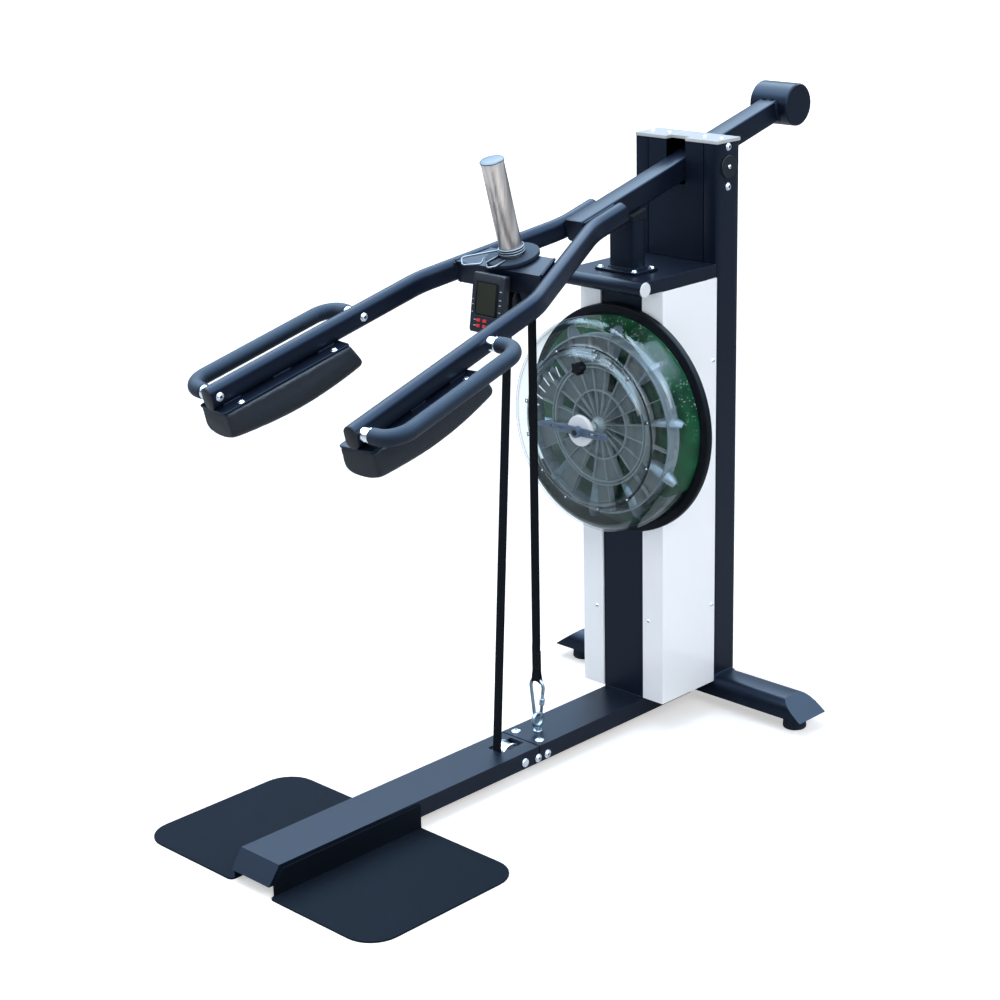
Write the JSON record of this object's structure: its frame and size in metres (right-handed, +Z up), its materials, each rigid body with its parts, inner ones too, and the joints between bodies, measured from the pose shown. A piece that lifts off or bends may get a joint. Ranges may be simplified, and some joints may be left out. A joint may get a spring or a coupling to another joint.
{
  "type": "squat press machine",
  "caption": "Standing squat machine: padded lever with handles and weight post, lifted against a strap that drives a water-filled resistance drum.",
  "frame": {"origin": "centre of the machine's footprint on the floor, midway between the front of the foot plates and the rear of the counterweight", "axes": "+Z up, +Y towards the rear of the machine, where the counterweight is, +X to the right of someone who looks along +Y from the foot plates"},
  "size_m": [0.776, 1.7852, 1.4504],
  "materials": {
    "black_paint": "satin black powder coat",
    "black_plastic": "satin black",
    "brushed_steel": "brushed along the tube",
    "chrome": "polished",
    "clear": "clear, moulded",
    "foam": "closed-cell foam sleeve",
    "grey_plastic": "grey, moulded",
    "red_plastic": "red",
    "rubber": "matt, fine texture",
    "screen": "dark display window",
    "vinyl": "smooth vinyl cover",
    "webbing": "black woven webbing",
    "white_panel": "glossy white",
    "white_plastic": "satin white",
    "zinc": "bright zinc plate"
  },
  "bodies": {
    "root": {"back_panel": "black_paint", "base_pulley_axle": "chrome", "bumper": "rubber", "centre_column": "black_paint", "eye_bolt": "zinc", "foot_plate_left": "rubber", "foot_plate_right": "rubber", "front_beam": "black_paint", "pivot_bearing_left": "black_plastic", "pivot_bearing_right": "black_plastic", "rear_beam": "black_paint", "rear_foot": "black_paint", "rear_pad_left": "rubber", "rear_pad_right": "rubber", "rewind_case": "black_plastic", "shelf": "black_paint", "shelf_cap_left": "white_plastic", "shelf_cap_right": "white_plastic", "side_panel_left": "white_panel", "side_panel_right": "white_panel", "spring_hook": "zinc", "stop_post": "black_paint", "strap": "webbing", "tank_back_disc": "black_plastic", "tank_cover": "clear", "tank_dial": "white_plastic", "tank_drum": "clear", "top_plate": "white_plastic", "upper_panel": "black_paint", "upright_left": "black_paint", "upright_right": "black_paint"},
    "lever": {"main_arm": "black_paint", "pivot_axle": "zinc", "side_tube_left": "black_paint", "side_tube_right": "black_paint", "crossbar": "black_paint", "weight_post": "brushed_steel", "weight_disc": "rubber", "post_cap": "black_plastic", "handle_left": "chrome", "handle_right": "chrome", "grip_left": "foam", "grip_right": "foam", "shoulder_pad_left": "vinyl", "shoulder_pad_right": "vinyl", "monitor_case": "black_plastic", "monitor_lens": "screen"},
    "collar": {"spring_collar": "chrome"},
    "upper_wheel": {"upper_pulley": "zinc"},
    "base_wheel": {"base_pulley": "zinc"},
    "idler_wheel": {"column_idler": "zinc"},
    "spool": {"drive_spool": "zinc"},
    "impeller_body": {"impeller": "grey_plastic"},
    "selector": {"selector_lever": "black_plastic"},
    "plug": {"fill_plug": "black_plastic"},
    "gate": {"hook_gate": "zinc"},
    "button_1": {"monitor_button_1": "red_plastic"},
    "button_2": {"monitor_button_2": "red_plastic"},
    "button_3": {"monitor_button_3": "red_plastic"},
    "button_4": {"monitor_button_4": "red_plastic"}
  },
  "joints": [
    {"name": "lever_pivot", "type": "hinge", "parent": "root", "child": "lever", "pos_m": [0, 0.49497, 1.307], "axis": [-1, 0, 0], "range_deg": [0, 40], "deforming": ["strap"]},
    {"name": "upper_pulley_spin", "type": "hinge", "parent": "lever", "child": "upper_wheel", "pos_m": [0, -0.06293, 1.08657], "axis": [-1, 0, 0], "continuous": true},
    {"name": "base_pulley_spin", "type": "hinge", "parent": "root", "child": "base_wheel", "pos_m": [0, -0.13903, 0.041], "axis": [-1, 0, 0], "continuous": true},
    {"name": "idler_spin", "type": "hinge", "parent": "root", "child": "idler_wheel", "pos_m": [0, 0.34397, 0.084], "axis": [-1, 0, 0], "continuous": true},
    {"name": "spool_spin", "type": "hinge", "parent": "root", "child": "spool", "pos_m": [0, 0.30897, 0.7494], "axis": [0, 1, 0], "continuous": true},
    {"name": "impeller_spin", "type": "hinge", "parent": "root", "child": "impeller_body", "pos_m": [0, 0.26897, 0.7494], "axis": [0, 1, 0], "continuous": true},
    {"name": "selector_turn", "type": "hinge", "parent": "root", "child": "selector", "pos_m": [0, 0.11897, 0.7494], "axis": [0, 1, 0], "range_deg": [0, 75]},
    {"name": "fill_plug_pull", "type": "slide", "parent": "root", "child": "plug", "axis": [0, -1, 0], "range_m": [0, 0.035]},
    {"name": "gate_hinge", "type": "hinge", "parent": "root", "child": "gate", "pos_m": [0.01125, -0.03303, 0.11554], "axis": [0, -1, 0], "range_deg": [0, 26], "stiffness_Nm_per_rad": 0.02},
    {"name": "collar_slide", "type": "slide", "parent": "lever", "child": "collar", "axis": [0, -0.2597, 0.9657], "range_m": [0, 0.17]},
    {"name": "button_1_press", "type": "slide", "parent": "lever", "child": "button_1", "axis": [0, 0.9889, -0.1487], "range_m": [0, 0.0015], "stiffness_N_per_m": 400},
    {"name": "button_2_press", "type": "slide", "parent": "lever", "child": "button_2", "axis": [0, 0.9889, -0.1487], "range_m": [0, 0.0015], "stiffness_N_per_m": 400},
    {"name": "button_3_press", "type": "slide", "parent": "lever", "child": "button_3", "axis": [0, 0.9889, -0.1487], "range_m": [0, 0.0015], "stiffness_N_per_m": 400},
    {"name": "button_4_press", "type": "slide", "parent": "lever", "child": "button_4", "axis": [0, 0.9889, -0.1487], "range_m": [0, 0.0015], "stiffness_N_per_m": 400}
  ],
  "couplings": [
    {"joint": "upper_pulley_spin", "follows": "lever_pivot", "ratio": 15.321},
    {"joint": "base_pulley_spin", "follows": "lever_pivot", "ratio": 39.169},
    {"joint": "idler_spin", "follows": "lever_pivot", "ratio": 51.091},
    {"joint": "spool_spin", "follows": "lever_pivot", "ratio": 29.9}
  ]
}
